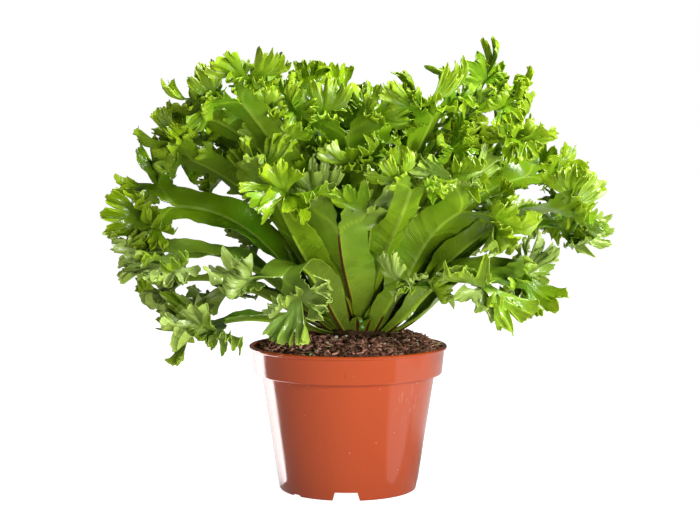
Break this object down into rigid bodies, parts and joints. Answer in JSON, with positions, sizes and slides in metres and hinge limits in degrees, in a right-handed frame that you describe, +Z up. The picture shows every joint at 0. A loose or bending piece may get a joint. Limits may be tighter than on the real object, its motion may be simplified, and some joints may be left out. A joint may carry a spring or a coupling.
{
  "type": "potted crested birds nest fern",
  "caption": "Crested bird's nest fern: wavy strap fronds with frilled, forked tips, rising from one crown in a filled plastic nursery pot.",
  "frame": {"origin": "under the crown, on the surface that the pot stands on, which is the bottom centre of the whole plant's box", "axes": "+Z up, +X to the right and +Y away as the picture looks at the plant; the widest spread of the fronds is along X"},
  "size_m": [0.3313, 0.2222, 0.2949],
  "materials": {
    "pot": "semi-gloss moulded terracotta-coloured plastic",
    "soil": "rough dark peat with bark fibres",
    "crown": "rough brown rhizome scales",
    "frond": "satin leathery leaf"
  },
  "bodies": {
    "root": {"pot": "pot", "soil": "soil", "crown": "crown", "frond_01": "frond", "frond_02": "frond", "frond_03": "frond", "frond_04": "frond", "frond_05": "frond", "frond_06": "frond", "frond_07": "frond", "frond_08": "frond", "frond_09": "frond", "frond_10": "frond", "frond_11": "frond", "frond_12": "frond", "frond_13": "frond", "frond_14": "frond", "frond_15": "frond", "frond_16": "frond", "frond_17": "frond", "frond_18": "frond", "frond_19": "frond", "frond_20": "frond", "frond_21": "frond", "frond_22": "frond", "frond_23": "frond", "frond_24": "frond", "frond_25": "frond", "frond_26": "frond", "frond_27": "frond", "frond_28": "frond", "frond_29": "frond", "frond_30": "frond", "frond_31": "frond", "frond_32": "frond", "frond_33": "frond", "frond_34": "frond", "frond_35": "frond", "frond_36": "frond", "frond_37": "frond", "frond_38": "frond", "frond_39": "frond", "frond_40": "frond", "frond_41": "frond"}
  },
  "joints": []
}
